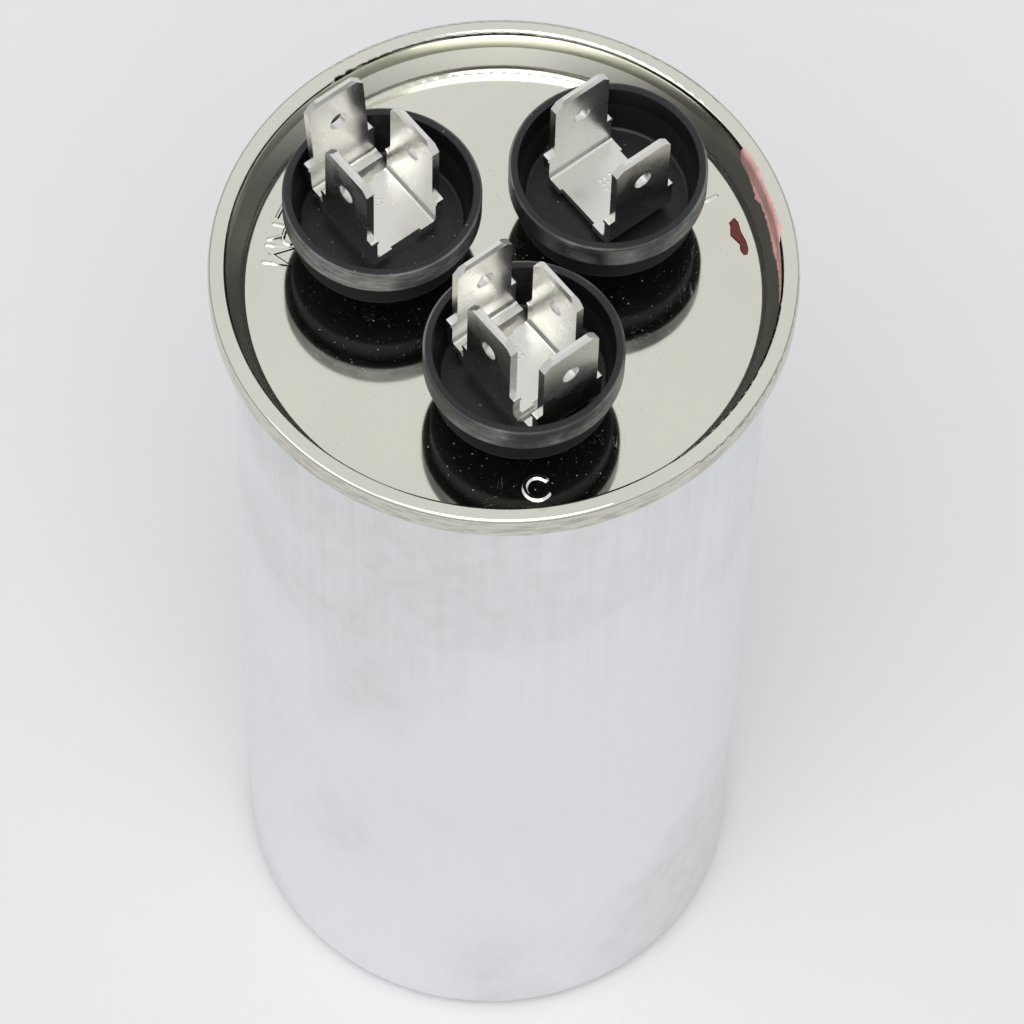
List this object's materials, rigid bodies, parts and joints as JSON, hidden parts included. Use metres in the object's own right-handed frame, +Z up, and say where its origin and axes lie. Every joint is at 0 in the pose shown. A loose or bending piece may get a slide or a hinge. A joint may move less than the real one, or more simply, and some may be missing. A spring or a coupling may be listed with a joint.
{
  "type": "motor run capacitor",
  "caption": "Round metal-can motor run capacitor with a seamed lid and black insulator cups that hold upright quick-connect blades",
  "frame": {"origin": "middle of the can's base, where it stands", "axes": "+Z up along the can's axis; +X from the axis towards the FAN terminal, with HERM at 120 degrees and C at 240 degrees counter-clockwise seen from above"},
  "size_m": [0.0552, 0.0552, 0.1215],
  "materials": {
    "can_metal": "satin, drawn",
    "tinplate": "bright tinplate",
    "compound": "matt",
    "black_moulding": "semi-matt moulding",
    "gasket_rubber": "matt",
    "brown_moulding": "matt moulding",
    "washer_steel": "zinc plated",
    "stud_metal": "tin plated",
    "lug_tin": "tin plated",
    "blade_tin": "bright tin plate",
    "disc_moulding": "matt moulding",
    "liner_plastic": "satin",
    "pressboard": "matt",
    "core_plastic": "satin",
    "film": "metallised film, wound",
    "wrap_film": "clear film, wound",
    "zinc_spray": "sprayed zinc, rough",
    "lead_copper": "tinned copper",
    "sleeve_red": "satin",
    "sleeve_yellow": "satin",
    "sleeve_blue": "satin"
  },
  "bodies": {
    "root": {"can": "can_metal", "lid": "tinplate", "seam_compound": "compound", "cup_c": "black_moulding", "cup_herm": "black_moulding", "cup_fan": "black_moulding", "gasket_c": "gasket_rubber", "gasket_herm": "gasket_rubber", "gasket_fan": "gasket_rubber", "bushing_c": "brown_moulding", "bushing_herm": "brown_moulding", "bushing_fan": "brown_moulding", "washer_c": "washer_steel", "washer_herm": "washer_steel", "washer_fan": "washer_steel", "stud_c": "stud_metal", "stud_herm": "stud_metal", "stud_fan": "stud_metal", "lug_c": "lug_tin", "lug_herm": "lug_tin", "lug_fan": "lug_tin", "upper_blades_c": "blade_tin", "lower_blades_c": "blade_tin", "upper_blades_herm": "blade_tin", "lower_blade_herm": "blade_tin", "blades_fan": "blade_tin", "interrupter_disc": "disc_moulding", "hold_down_ring": "disc_moulding", "liner": "liner_plastic", "bottom_spacer": "pressboard", "core_tube": "core_plastic", "fan_winding": "film", "section_wrap": "wrap_film", "herm_winding": "film", "outer_wrap": "wrap_film", "fan_end_spray": "zinc_spray", "herm_end_spray": "zinc_spray", "common_end_spray": "zinc_spray", "lead_c": "lead_copper", "lead_herm": "lead_copper", "lead_fan": "lead_copper", "sleeve_c": "sleeve_red", "sleeve_herm": "sleeve_yellow", "sleeve_fan": "sleeve_blue"}
  },
  "joints": []
}
